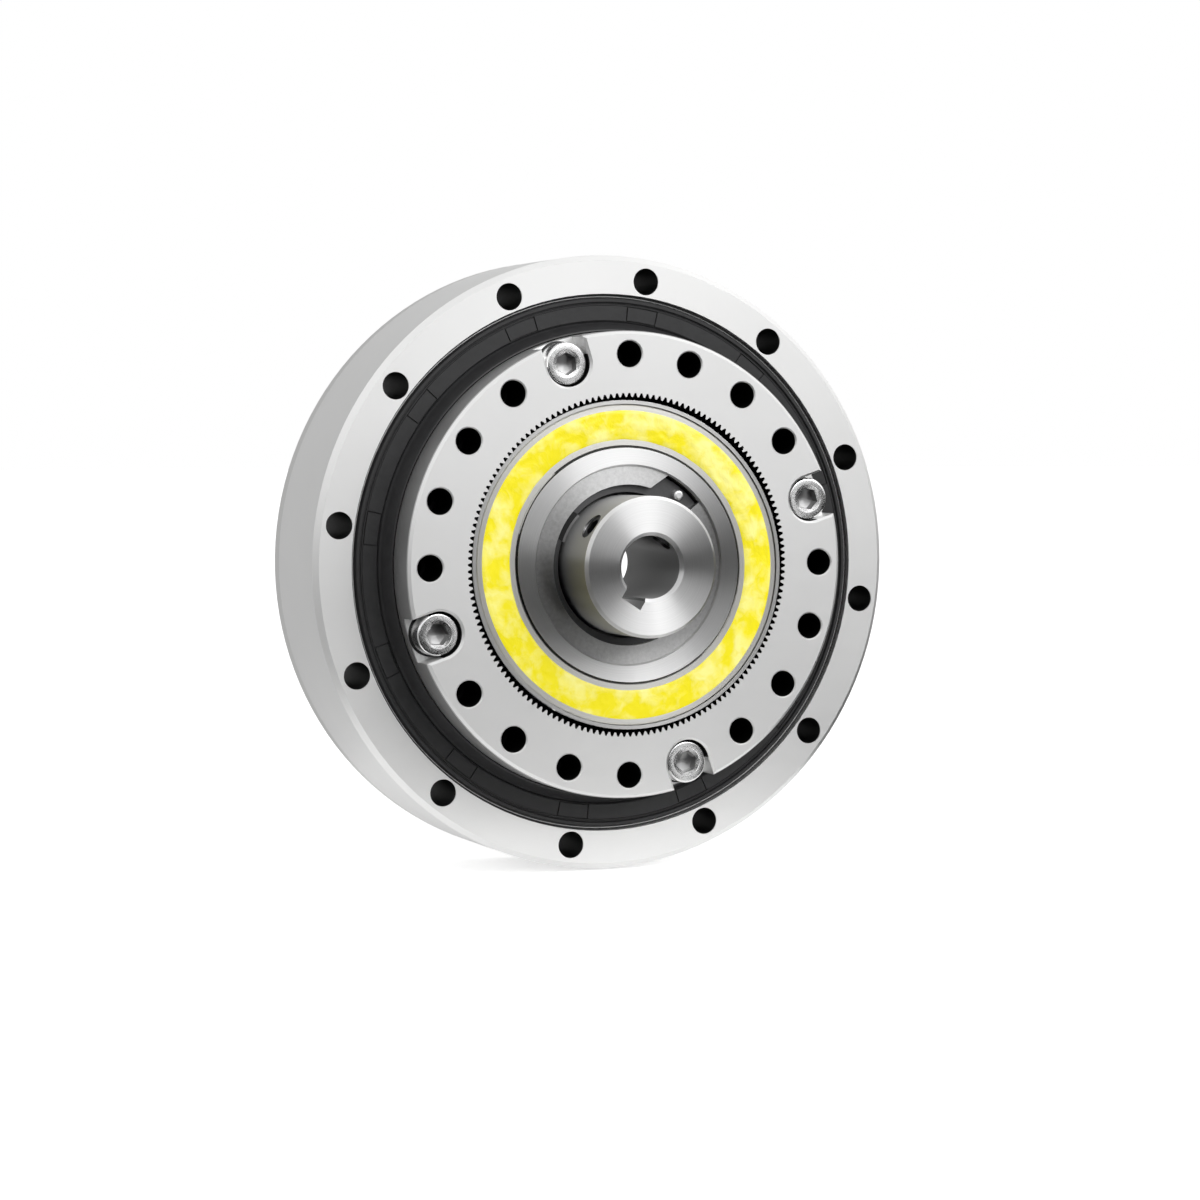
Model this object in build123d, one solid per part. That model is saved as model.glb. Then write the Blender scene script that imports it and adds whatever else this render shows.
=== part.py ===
from build123d import *
from math import cos, pi, radians, sin, sqrt
import os

os.makedirs("parts", exist_ok=True)

# A strain wave gear of the component type, in millimetres. Every piece is drawn
# with the gear's axis along +Z and heights counted from the mounting face, and
# is then laid over so that the axis lies along Y with the input hub at the front.
# Clock angles run clockwise from the top, seen from the front.

# Case: the bearing's outer ring, bolted with the flexspline's rim behind it
CASE_LIP = 5.0
CASE_RING_T = 15.4
CASE_EDGE = 0.7
CASE_BOLTS = 12
CASE_BOLT_R = 1.75
CASE_BOLT_INSET = 3.0
CASE_BOLT_CLOCK = 8.2
RIM_SCREWS = 4
RIM_SCREW_R = 1.0
RIM_SCREW_HEAD_R = 1.9
RIM_SCREW_L = 5.0
RIM_SCREW_HEX = 1.3

# Flexspline: a silk hat, a thin toothed tube on a diaphragm and a rim
RIM_T = 2.4
RIM_STEP = 1.2
RIM_EDGE = 0.5
DIAPHRAGM_T = 0.45
DIAPHRAGM_LIFT = 0.9
CUP_FIT = 0.08
CUP_WALL = 0.38
BEND_R = 1.7
TOOTH_BAND = 7.0

# Teeth of the flexspline and of the circular spline
PITCH_LIFT = 0.32
FLEX_TEETH = 160
RING_TEETH = 162
ADDENDUM = 0.22
FLEX_DEDENDUM = 0.25
RING_DEDENDUM = 0.30
TOOTH_HALF = 0.188
FLANK = 0.42
TOOTH_FALL = 0.8
MAJOR_CLOCK = 122.0

# Output: circular spline and the bearing's inner ring
OUTPUT_STEP = 7.2
SPLINE_WALL = 8.2515
SPLINE_T = 7.0
SPLINE_EDGE = 0.45
OUTPUT_POSITIONS = 20
OUTPUT_HOLE_R = 1.7
OUTPUT_HOLE_EDGE = 0.15
OUTPUT_HOLE_INSET = 3.0
SCREW_EVERY = 5
SCREW_FIRST = 4
SLOT_R = 2.95
SLOT_DEPTH = 3.8
SLOT_EDGE = 0.3
SPIGOT_INSET = 5.6
SPIGOT_WALL = 1.6
SPIGOT_L = 1.2
SPIGOT_SEAL = 0.9
TAP_R = 1.25
TAP_DEPTH = 5.8
RING_BACK = 3.6
RING_EDGE = 0.3
SCREW_R = 1.5
SCREW_L = 8.0
SCREW_HEAD_R = 2.75
SCREW_HEAD_H = 3.0
SCREW_HEAD_EDGE = 0.28
SCREW_HEX = 2.5
SCREW_HEX_DEPTH = 1.5

# Crossed roller bearing
ROLLERS = 44
ROLLER_R = 1.8
ROLLER_L = 3.44
ROLLER_EDGE = 0.2
ROLLER_HEIGHT = 8.2
ROLLER_PLAY = 0.02
LAND_GAP = 0.4
LOADING_R = 2.9
LOADING_BAY = 4.5
LOADING_PIN_R = 0.7
LOADING_PIN_INSET = 1.9

# Seal between the case and the output
SEAL_BAND = 5.0
SEAL_W = 5.3
SEAL_SINK = 0.15
SEAL_RIM_BAND = 1.3
SEAL_LIP_BAND = 1.4
SEAL_LIP_LIFT = 1.8
SEAL_LIP_PLAY = 0.03
SEAL_CASE_T = 0.6
SEAL_SKIN = 0.3
SEAL_EDGE = 0.6
SEAL_STEP = 0.2
SEAL_LIP_T = 0.6
GARTER_R = 0.55

# Static seals in their grooves
GROOVE_INSET = 1.6
GROOVE_W = 1.3
GROOVE_DEPTH = 0.75

# Wave generator: elliptical plug in a thin ball bearing
PLUG_WALL = 2.6
PLUG_T = 7.4
PLUG_SINK = 0.1
PLUG_EDGE = 0.2
BEARING_W = 6.6
BEARING_SINK = 0.3
RACE_EDGE = 0.15
RACE_T = 1.25
RACE_GAP = 2.85
BALLS = 23
BALL_R = 1.75
BALL_PLAY = 0.04
CAGE_GAP = 0.5
CAGE_BACK = 0.35
CAGE_W = 3.7
POCKET_PLAY = 0.1
GREASE_GAP = 0.2
GREASE_SPREAD_IN = 0.4
GREASE_SPREAD_OUT = 0.5
GREASE_H = 0.25

# Oldham coupling between the plug and the hub
POCKET_DEPTH = 4.1
INSERT_GAP = 0.4
INSERT_BAND = 3.05
INSERT_T = 2.8
TONGUE_W = 4.0
TONGUE_PLAY = 0.04
TONGUE_H = 1.6
TONGUE_INSET_IN = 0.5
TONGUE_INSET_OUT = 0.35
END_PLAY = 0.1
SLIDE = 0.15
LUG_REACH = 2.25
SNAP_SEAT = 0.4
SNAP_GAP = 1.35
SNAP_T = 0.8
SNAP_GROOVE_PLAY = 0.05
SNAP_END_CLOCK = 51.0
SNAP_TAPER_INNER_CLOCK = 12.0
SNAP_TAPER_OUTER_CLOCK = 29.0
PIN_R = 0.7
PIN_INSET = 2.0
PIN_CLOCK = 38.6
PIN_STAND = 0.8
PIN_SUNK = 1.2
PIN_CROWN = 0.35

# Input hub
HUB_STAND = 7.2
HUB_WALL = 5.0
HUB_L = 18.0
HUB_EDGE = 0.4
BORE_R = 4.0
BORE_EDGE = 0.45
KEY_W = 3.0
KEY_DEPTH = 1.4
KEY_CLOCK = 212.0
TAIL_STEP = 2.0
TAIL_EDGE = 0.4
SET_SCREW_R = 1.75
SET_SCREW_L = 3.6
SET_SCREW_SINK = 0.3
SET_SCREW_BACK = 2.6
SET_SCREW_HEX = 2.0
SET_SCREW_HEX_DEPTH = 1.2
SET_SCREW_CLOCKS = (306.0, 32.0)
TAIL_RING_STAND = 1.7
TAIL_RING_T = 0.6
TAIL_RING_GAP = 1.8
TAIL_GROOVE_DEPTH = 0.6
WASHER_BAND = 3.2
WASHER_T = 0.45
WASHER_PLAY = 0.08

# How far a cutting shape runs past the surface that it opens
PAST = 1.0

# Heights that follow from the sizes above
CASE_FACE = RIM_T + CASE_RING_T
OUTPUT_FACE = CASE_FACE + OUTPUT_STEP
SPLINE_BACK = OUTPUT_FACE - SPLINE_T
SLOT_FLOOR = OUTPUT_FACE - SLOT_DEPTH
HUB_FACE = OUTPUT_FACE + HUB_STAND
HUB_BACK = HUB_FACE - HUB_L
PLUG_FACE = OUTPUT_FACE - PLUG_SINK
PLUG_BACK = PLUG_FACE - PLUG_T
BEARING_FACE = OUTPUT_FACE - BEARING_SINK
BEARING_BACK = BEARING_FACE - BEARING_W
BALL_HEIGHT = BEARING_FACE - BEARING_W / 2
FLEX_FACE = BEARING_FACE + PLUG_EDGE / 2
FLEX_BAND_BACK = FLEX_FACE - TOOTH_BAND
SEAL_FACE = CASE_FACE - SEAL_SINK
SEAL_BACK = SEAL_FACE - SEAL_W
POCKET_FLOOR = PLUG_FACE - POCKET_DEPTH
INSERT_BACK = POCKET_FLOOR + END_PLAY
INSERT_FACE = INSERT_BACK + INSERT_T
SNAP_BACK = INSERT_FACE + END_PLAY
SNAP_FACE = SNAP_BACK + SNAP_T
WASHER_FACE = PLUG_BACK - WASHER_PLAY
TAIL_RING_FACE = WASHER_FACE - WASHER_T

# Radii from the shaft outwards, each carried by the one before
HUB_R = BORE_R + HUB_WALL
TAIL_R = HUB_R - TAIL_STEP
TAIL_RING_R = TAIL_R + TAIL_RING_STAND
PLUG_BORE_R = TAIL_R + 2 * SLIDE + END_PLAY
WASHER_R = PLUG_BORE_R + WASHER_BAND
INSERT_BORE_R = HUB_R + INSERT_GAP
INSERT_R = INSERT_BORE_R + INSERT_BAND
TONGUE_INNER_R = INSERT_BORE_R + TONGUE_INSET_IN
TONGUE_OUTER_R = INSERT_R - TONGUE_INSET_OUT
LUG_R = HUB_R + LUG_REACH
LUG_SLOT_R = LUG_R + SLIDE + END_PLAY
PIN_CIRCLE = INSERT_BORE_R + PIN_INSET
POCKET_R = INSERT_R + 2 * SLIDE
SNAP_R = POCKET_R + SNAP_SEAT
SNAP_BORE_R = HUB_R + SNAP_GAP
PLUG_R = POCKET_R + PLUG_WALL
INNER_SHOULDER_R = PLUG_R + RACE_T
OUTER_SHOULDER_R = INNER_SHOULDER_R + RACE_GAP
BEARING_R = OUTER_SHOULDER_R + RACE_T
BALL_CIRCLE = (PLUG_R + BEARING_R) / 2
GROOVE_BALL_R = BALL_R + BALL_PLAY
CAGE_INNER_R = INNER_SHOULDER_R + CAGE_GAP
CAGE_OUTER_R = OUTER_SHOULDER_R - CAGE_GAP
GREASE_INNER_R = INNER_SHOULDER_R - GREASE_SPREAD_IN
GREASE_OUTER_R = OUTER_SHOULDER_R + GREASE_SPREAD_OUT
CUP_BORE_R = BEARING_R + CUP_FIT
NEUTRAL_R = CUP_BORE_R + CUP_WALL / 2
FLEX_PITCH_R = CUP_BORE_R + CUP_WALL + PITCH_LIFT
MODULE = FLEX_PITCH_R * 2 / FLEX_TEETH
WAVE = MODULE
RING_PITCH_R = MODULE * RING_TEETH / 2
OUTPUT_R = RING_PITCH_R + SPLINE_WALL
OUTPUT_CIRCLE = OUTPUT_R - OUTPUT_HOLE_INSET
SPIGOT_R = OUTPUT_R - SPIGOT_INSET
SPIGOT_BORE_R = SPIGOT_R - SPIGOT_WALL
ROLLER_CIRCLE = OUTPUT_R + LAND_GAP
RACE_HALF = (2 * (ROLLER_R + ROLLER_PLAY)) / sqrt(2)
GROOVE_R = ROLLER_CIRCLE + LAND_GAP + GROOVE_INSET
RIM_BORE_R = GROOVE_R - RIM_STEP
SEAL_R = OUTPUT_R + SEAL_BAND
SEAL_PANEL_R = SEAL_R - SEAL_RIM_BAND
SEAL_PANEL_INNER_R = OUTPUT_R + SEAL_LIP_BAND
CASE_R = SEAL_R + CASE_LIP
CASE_BOLT_CIRCLE = CASE_R - CASE_BOLT_INSET
SET_SCREW_HEIGHT = HUB_FACE - SET_SCREW_BACK
LOADING_CLOCK = CASE_BOLT_CLOCK + LOADING_BAY * 360 / CASE_BOLTS


def laid(shape):
    """The piece with its axis along Y, front towards -Y."""
    return Rot(90, 0, 0) * shape


def clocked(shape, clock):
    """A piece drawn on the +Y side, turned clockwise from the top."""
    return Rot(0, 0, -clock) * shape


def waved(shape):
    """A piece drawn with the wave's major axis along X, turned to its place."""
    return Rot(0, 0, 90 - MAJOR_CLOCK) * shape


def turned(*corners):
    """A ring or disc turned about the axis from its half section."""
    return revolve(Plane.XZ * make_face(Polyline(*corners, close=True)), Axis.Z)


def disc(radius, low, high):
    return extrude(Plane.XY.offset(low) * Circle(radius), high - low)


def ring(inner, outer, low, high):
    return extrude(Plane.XY.offset(low) * (Circle(outer) - Circle(inner)), high - low)


def oval(radius):
    """A round outline of this mean radius, pressed out by the wave along X."""
    return Ellipse(radius + WAVE, radius - WAVE)


def oval_ring(inner, outer, low, high):
    return extrude(Plane.XY.offset(low) * (oval(outer) - oval(inner)), high - low)


def block(width, near, far, low, high):
    """A bar across the +Y side, from one radius to another."""
    return Pos(0, (near + far) / 2, (low + high) / 2) * Box(width, far - near, high - low)


def tooth_outline(count, pitch_r, way, root, offset, wave):
    """Corners of a toothed outline on a pitch circle that the wave presses out.

    way is 1 for teeth that point outwards and -1 for teeth that point inwards.
    """
    corners = []
    for k in range(count):
        turn = 2 * pi * (k + offset) / count
        around = turn - wave / (2 * NEUTRAL_R) * sin(2 * turn)
        facing = around + 2 * wave / pitch_r * sin(2 * turn)
        reach = pitch_r + wave * cos(2 * turn)
        for side, height in ((-1, -root), (-1, ADDENDUM), (1, ADDENDUM), (1, -root)):
            half = side * (TOOTH_HALF - FLANK * height)
            up = way * height
            corners.append((
                reach * cos(around) + up * cos(facing) - half * sin(facing),
                reach * sin(around) + up * sin(facing) + half * cos(facing),
            ))
    return make_face(Polyline(*corners, close=True))


def socket_head_screw():
    """A socket head screw with its seat at height 0 and its head upwards."""
    head = turned(
        (0, 0),
        (SCREW_HEAD_R, 0),
        (SCREW_HEAD_R, SCREW_HEAD_H - SCREW_HEAD_EDGE),
        (SCREW_HEAD_R - SCREW_HEAD_EDGE, SCREW_HEAD_H),
        (0, SCREW_HEAD_H),
    )
    floor = Plane.XY.offset(SCREW_HEAD_H - SCREW_HEX_DEPTH)
    socket = extrude(floor * across_flats(SCREW_HEX), SCREW_HEX_DEPTH)
    return head - socket + disc(SCREW_R, -SCREW_L, 0)


def across_flats(width):
    return RegularPolygon(width / 2, 6, major_radius=False)


def case_bolt_holes(low, high):
    hole = Pos(0, CASE_BOLT_CIRCLE) * disc(CASE_BOLT_R, low, high)
    step = 360 / CASE_BOLTS
    return [clocked(hole, CASE_BOLT_CLOCK + k * step) for k in range(CASE_BOLTS)]


def rim_screw_clocks():
    """Half way between two case bolts, a quarter turn apart."""
    first = CASE_BOLT_CLOCK + 180 / CASE_BOLTS
    return [first + k * 360 / RIM_SCREWS for k in range(RIM_SCREWS)]


def screw_positions():
    return [p for p in range(OUTPUT_POSITIONS) if p % SCREW_EVERY == SCREW_FIRST]


def position_clock(position):
    return position * 360 / OUTPUT_POSITIONS


def loading_hole():
    """The radial hole through which the rollers go in."""
    hole = Rot(-90, 0, 0) * disc(LOADING_R, ROLLER_CIRCLE, CASE_R + PAST)
    return clocked(Pos(0, 0, ROLLER_HEIGHT) * hole, LOADING_CLOCK)


def loading_pin_hole():
    reach = CASE_R - LOADING_PIN_INSET
    pin = Pos(0, reach) * disc(LOADING_PIN_R, RIM_T, ROLLER_HEIGHT + LOADING_R)
    return clocked(pin, LOADING_CLOCK)


def bare_outer_ring():
    """The case ring with its race, seal seat and groove, before any hole."""
    bore = ROLLER_CIRCLE + LAND_GAP
    half = RACE_HALF - LAND_GAP
    groove_end = GROOVE_R + GROOVE_W
    return turned(
        (bore + RING_EDGE, RIM_T),
        (GROOVE_R, RIM_T),
        (GROOVE_R, RIM_T + GROOVE_DEPTH),
        (groove_end, RIM_T + GROOVE_DEPTH),
        (groove_end, RIM_T),
        (CASE_R, RIM_T),
        (CASE_R, CASE_FACE - CASE_EDGE),
        (CASE_R - CASE_EDGE, CASE_FACE),
        (SEAL_R, CASE_FACE),
        (SEAL_R, SEAL_BACK),
        (bore, SEAL_BACK),
        (bore, ROLLER_HEIGHT + half),
        (bore + half, ROLLER_HEIGHT),
        (bore, ROLLER_HEIGHT - half),
        (bore, RIM_T + RING_EDGE),
    )


def outer_ring():
    body = bare_outer_ring() - loading_hole() - loading_pin_hole()
    body -= case_bolt_holes(RIM_T, CASE_FACE)
    tap = Pos(0, CASE_BOLT_CIRCLE) * disc(RIM_SCREW_R, RIM_T, RIM_SCREW_L)
    return body - [clocked(tap, c) for c in rim_screw_clocks()]


def roller_loading_plug():
    return bare_outer_ring() & loading_hole() - loading_pin_hole()


def rim_screw():
    """A countersunk screw from the back, flush with the mounting face."""
    lean = RIM_SCREW_HEAD_R - RIM_SCREW_R
    body = turned(
        (0, 0),
        (RIM_SCREW_HEAD_R, 0),
        (RIM_SCREW_R, lean),
        (RIM_SCREW_R, RIM_SCREW_L),
        (0, RIM_SCREW_L),
    )
    return Pos(0, CASE_BOLT_CIRCLE) * body


def rim_screws():
    socket = Pos(0, CASE_BOLT_CIRCLE) * extrude(across_flats(RIM_SCREW_HEX), RIM_SCREW_R)
    return [clocked(rim_screw() - socket, c) for c in rim_screw_clocks()]


def flexspline_hat():
    """Rim, diaphragm and the bend that leads into the tube."""
    top = DIAPHRAGM_LIFT + DIAPHRAGM_T
    bend_r = BEND_R - DIAPHRAGM_T
    lip = DIAPHRAGM_LIFT + BEND_R
    outside = CUP_BORE_R + CUP_WALL
    step = RIM_T - top
    start = (CUP_BORE_R, lip)
    low = (CUP_BORE_R + BEND_R, DIAPHRAGM_LIFT)
    high = (outside + bend_r, top)
    inner_bend = RadiusArc(start, low, BEND_R)
    outer_bend = RadiusArc(high, (outside, lip), -bend_r)
    under = Polyline(
        low,
        (RIM_BORE_R - DIAPHRAGM_LIFT, DIAPHRAGM_LIFT),
        (RIM_BORE_R, 0),
        (CASE_R - RIM_EDGE, 0),
        (CASE_R, RIM_EDGE),
        (CASE_R, RIM_T),
        (RIM_BORE_R, RIM_T),
        (RIM_BORE_R - step, top),
        high,
    )
    mouth = Line((outside, lip), start)
    section = make_face([inner_bend, under, outer_bend, mouth])
    return revolve(Plane.XZ * section, Axis.Z)


def flexspline_tube():
    """The thin tube, round at the diaphragm and oval where its teeth begin."""
    low = DIAPHRAGM_LIFT + BEND_R
    foot, head = Plane.XY.offset(low), Plane.XY.offset(FLEX_BAND_BACK)
    outside = CUP_BORE_R + CUP_WALL
    skin = loft([foot * Circle(outside), head * oval(outside)], ruled=True)
    return skin - loft([foot * Circle(CUP_BORE_R), head * oval(CUP_BORE_R)], ruled=True)


def flexspline():
    """The hat with its oval tube and its teeth, which fall away to the root in front."""
    teeth = tooth_outline(FLEX_TEETH, FLEX_PITCH_R, 1, FLEX_DEDENDUM, 0, WAVE)
    band = extrude(Plane.XY.offset(FLEX_BAND_BACK) * teeth, TOOTH_BAND - TOOTH_FALL)
    fall = Plane.XY.offset(FLEX_FACE - TOOTH_FALL)
    crown = loft([
        fall * oval(FLEX_PITCH_R + ADDENDUM),
        Plane.XY.offset(FLEX_FACE) * oval(FLEX_PITCH_R - FLEX_DEDENDUM),
    ], ruled=True)
    band += extrude(fall * teeth, TOOTH_FALL) & crown
    band -= extrude(Plane.XY.offset(FLEX_BAND_BACK) * oval(CUP_BORE_R), TOOTH_BAND)
    body = waved(flexspline_tube() + band) + flexspline_hat()
    body -= case_bolt_holes(0, RIM_T)
    return body - [clocked(rim_screw(), c) for c in rim_screw_clocks()]


def screw_slot():
    """A U-shaped pocket for one screw head, open at the rim, with a bevelled edge."""
    reach = OUTPUT_R - OUTPUT_CIRCLE + PAST
    sides = Pos(0, reach / 2) * Rectangle(2 * SLOT_R, reach)
    outline = Pos(0, OUTPUT_CIRCLE) * (Circle(SLOT_R) + sides)
    pocket = extrude(Plane.XY.offset(SLOT_FLOOR) * outline, SLOT_DEPTH)
    wide = offset(outline, SLOT_EDGE)
    bevel = loft([
        Plane.XY.offset(OUTPUT_FACE - SLOT_EDGE) * outline,
        Plane.XY.offset(OUTPUT_FACE) * wide,
    ])
    return pocket + bevel


def output_hole():
    """A clearance hole through the toothed ring, with its edge broken in front."""
    mouth = OUTPUT_FACE - OUTPUT_HOLE_EDGE
    return Pos(0, OUTPUT_CIRCLE) * turned(
        (0, SPLINE_BACK),
        (OUTPUT_HOLE_R, SPLINE_BACK),
        (OUTPUT_HOLE_R, mouth),
        (OUTPUT_HOLE_R + OUTPUT_HOLE_EDGE, OUTPUT_FACE),
        (0, OUTPUT_FACE),
    )


def circular_spline():
    body = turned(
        (SPIGOT_BORE_R, SPLINE_BACK - SPIGOT_L),
        (SPIGOT_R, SPLINE_BACK - SPIGOT_L),
        (SPIGOT_R, SPLINE_BACK),
        (OUTPUT_R, SPLINE_BACK),
        (OUTPUT_R, OUTPUT_FACE - SPLINE_EDGE),
        (OUTPUT_R - SPLINE_EDGE, OUTPUT_FACE),
        (CUP_BORE_R, OUTPUT_FACE),
        (CUP_BORE_R, SPLINE_BACK),
        (SPIGOT_BORE_R, SPLINE_BACK),
    )
    spaces = tooth_outline(RING_TEETH, RING_PITCH_R, -1, RING_DEDENDUM, 0.5, 0)
    cutter = extrude(Plane.XY.offset(SPLINE_BACK) * spaces, SPLINE_T)
    holes = [clocked(output_hole(), position_clock(p)) for p in range(OUTPUT_POSITIONS)]
    slots = [clocked(screw_slot(), position_clock(p)) for p in screw_positions()]
    return body - waved(cutter) - holes - slots


def inner_ring():
    half = RACE_HALF + OUTPUT_R - ROLLER_CIRCLE
    body = turned(
        (SPIGOT_R, RING_BACK),
        (OUTPUT_R - RING_EDGE, RING_BACK),
        (OUTPUT_R, RING_BACK + RING_EDGE),
        (OUTPUT_R, ROLLER_HEIGHT - half),
        (OUTPUT_R - half, ROLLER_HEIGHT),
        (OUTPUT_R, ROLLER_HEIGHT + half),
        (OUTPUT_R, SPLINE_BACK),
        (SPIGOT_R + SPIGOT_SEAL, SPLINE_BACK),
        (SPIGOT_R, SPLINE_BACK - SPIGOT_SEAL),
    )
    tap = Pos(0, OUTPUT_CIRCLE) * disc(TAP_R, SPLINE_BACK - TAP_DEPTH, SPLINE_BACK)
    filled = Pos(0, OUTPUT_CIRCLE) * disc(SCREW_R, SLOT_FLOOR - SCREW_L, SPLINE_BACK)
    screws = screw_positions()
    taps = [
        clocked(filled if p in screws else tap, position_clock(p))
        for p in range(OUTPUT_POSITIONS)
    ]
    return body - taps


def spline_screws():
    placed = Pos(0, OUTPUT_CIRCLE, SLOT_FLOOR) * socket_head_screw()
    return [clocked(placed, position_clock(p)) for p in screw_positions()]


def corner_seal():
    """The ring seal in the bevelled corner between spigot and inner ring."""
    cord = SPIGOT_SEAL * (1 - 1 / sqrt(2))
    section = Plane.XZ * Pos(SPIGOT_R + cord, SPLINE_BACK - cord) * Circle(cord)
    return revolve(section, Axis.Z)


def groove_seal():
    """The ring seal pressed flat in the groove behind the case ring."""
    cord = GROOVE_DEPTH / 2
    section = Plane.XZ * Pos(GROOVE_R + GROOVE_W / 2, RIM_T + cord) * Ellipse(GROOVE_W / 2, cord)
    return revolve(section, Axis.Z)


def crossed_rollers():
    edge = ROLLER_EDGE
    half = ROLLER_L / 2
    roller = turned(
        (0, -half),
        (ROLLER_R - edge, -half),
        (ROLLER_R, edge - half),
        (ROLLER_R, half - edge),
        (ROLLER_R - edge, half),
        (0, half),
    )
    leans = [Pos(0, ROLLER_CIRCLE, ROLLER_HEIGHT) * Rot(tilt, 0, 0) * roller for tilt in (45, -45)]
    return [clocked(leans[k % 2], k * 360 / ROLLERS) for k in range(ROLLERS)]


def seal_metal():
    """The angle ring that stiffens the seal."""
    outside = SEAL_R - SEAL_SKIN
    inside = SEAL_PANEL_INNER_R + SEAL_CASE_T
    top = SEAL_FACE - SEAL_CASE_T
    return turned(
        (outside - SEAL_CASE_T, SEAL_BACK),
        (outside, SEAL_BACK),
        (outside, top),
        (inside, top),
        (inside, top - SEAL_CASE_T),
        (outside - SEAL_CASE_T, top - SEAL_CASE_T),
    )


def garter_place():
    """Where the spring sits over the main lip: its radius and height."""
    return OUTPUT_R + SEAL_LIP_T + 2 * GARTER_R, SEAL_BACK + 2 * GARTER_R


def garter_spring():
    reach, height = garter_place()
    return revolve(Plane.XZ * Pos(reach, height) * Circle(GARTER_R), Axis.Z)


def oil_seal():
    """The rubber: a panel, a dust lip in front and the main lip behind."""
    lip = OUTPUT_R + SEAL_LIP_PLAY
    neck = lip + SEAL_LIP_T
    reach, height = garter_place()
    back_r = reach + GARTER_R + SEAL_SKIN
    wall_r = SEAL_R - SEAL_CASE_T - 2 * SEAL_SKIN
    web = SEAL_FACE - 2 * SEAL_CASE_T - SEAL_SKIN
    dust_lip = CASE_FACE + SEAL_LIP_LIFT
    body = turned(
        (SEAL_R, SEAL_BACK),
        (SEAL_R, SEAL_FACE - SEAL_EDGE),
        (SEAL_R - SEAL_EDGE, SEAL_FACE),
        (SEAL_PANEL_R + SEAL_STEP, SEAL_FACE),
        (SEAL_PANEL_R, SEAL_FACE - SEAL_STEP),
        (SEAL_PANEL_INNER_R, SEAL_FACE - SEAL_STEP),
        (lip + SEAL_SKIN, dust_lip),
        (lip, dust_lip - SEAL_SKIN),
        (neck, SEAL_FACE - SEAL_CASE_T),
        (neck, height + GARTER_R),
        (lip, height),
        (neck, SEAL_BACK + SEAL_SKIN),
        (back_r, SEAL_BACK + SEAL_SKIN),
        (back_r, height + GARTER_R + SEAL_SKIN),
        (SEAL_PANEL_INNER_R + SEAL_CASE_T, web),
        (wall_r, web),
        (wall_r, SEAL_BACK),
    )
    return body - seal_metal() - garter_spring()


def plug():
    body = extrude(Plane.XY.offset(PLUG_BACK) * oval(PLUG_R), PLUG_T)
    body = chamfer(body.edges().group_by(Axis.Z)[-1], PLUG_EDGE)
    groove_low = SNAP_BACK - SNAP_GROOVE_PLAY
    groove_high = SNAP_FACE + SNAP_GROOVE_PLAY
    hollow = turned(
        (0, PLUG_BACK),
        (PLUG_BORE_R, PLUG_BACK),
        (PLUG_BORE_R, POCKET_FLOOR),
        (POCKET_R, POCKET_FLOOR),
        (POCKET_R, groove_low),
        (SNAP_R, groove_low),
        (SNAP_R, groove_high),
        (POCKET_R, groove_high),
        (POCKET_R, PLUG_FACE - PLUG_EDGE),
        (POCKET_R + PLUG_EDGE, PLUG_FACE),
        (0, PLUG_FACE),
    )
    width = TONGUE_W + 2 * TONGUE_PLAY
    near = TONGUE_INNER_R - 2 * SLIDE
    far = TONGUE_OUTER_R + 2 * SLIDE
    grooves = [
        clocked(block(width, near, far, POCKET_FLOOR - TONGUE_H, POCKET_FLOOR), side)
        for side in (MAJOR_CLOCK - 90, MAJOR_CLOCK + 90)
    ]
    return waved(body) - hollow - grooves


def ball_channel():
    """The groove that the balls run in, for both races."""
    path = oval(BALL_CIRCLE).wire()
    start = BALL_CIRCLE + WAVE
    section = Plane.XZ * Pos(start, BALL_HEIGHT) * Circle(GROOVE_BALL_R)
    return sweep(section, Plane.XY.offset(BALL_HEIGHT) * path)


def race(inner, outer):
    body = oval_ring(inner, outer, BEARING_BACK, BEARING_FACE)
    edges = body.edges().group_by(Axis.Z)
    return chamfer(edges[0] + edges[-1], RACE_EDGE)


def bearing_inner_race():
    return waved(race(PLUG_R, INNER_SHOULDER_R) - ball_channel())


def bearing_outer_race():
    return waved(race(OUTER_SHOULDER_R, BEARING_R) - ball_channel())


def ball_places():
    places = []
    for k in range(BALLS):
        turn = 2 * pi * k / BALLS
        reach = BALL_CIRCLE + WAVE * cos(2 * turn)
        places.append(Pos(reach * cos(turn), reach * sin(turn), BALL_HEIGHT))
    return places


def bearing_balls():
    return [waved(place * Sphere(BALL_R)) for place in ball_places()]


def ball_cage():
    low = BEARING_BACK + CAGE_BACK
    body = ring(CAGE_INNER_R, CAGE_OUTER_R, low, low + CAGE_W)
    return waved(body - [place * Sphere(BALL_R + POCKET_PLAY) for place in ball_places()])


def bearing_grease():
    """Grease that fills the front of the bearing and stands a little proud."""
    low = BALL_HEIGHT + BALL_R + GREASE_GAP
    inner, outer = INNER_SHOULDER_R + RACE_EDGE, OUTER_SHOULDER_R - RACE_EDGE
    fill = oval_ring(inner, outer, low, BEARING_FACE)
    spread = oval_ring(GREASE_INNER_R, GREASE_OUTER_R, BEARING_FACE, BEARING_FACE + GREASE_H)
    return waved(fill + spread)


def clock_point(radius, clock):
    return radius * sin(radians(clock)), radius * cos(radians(clock))


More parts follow.
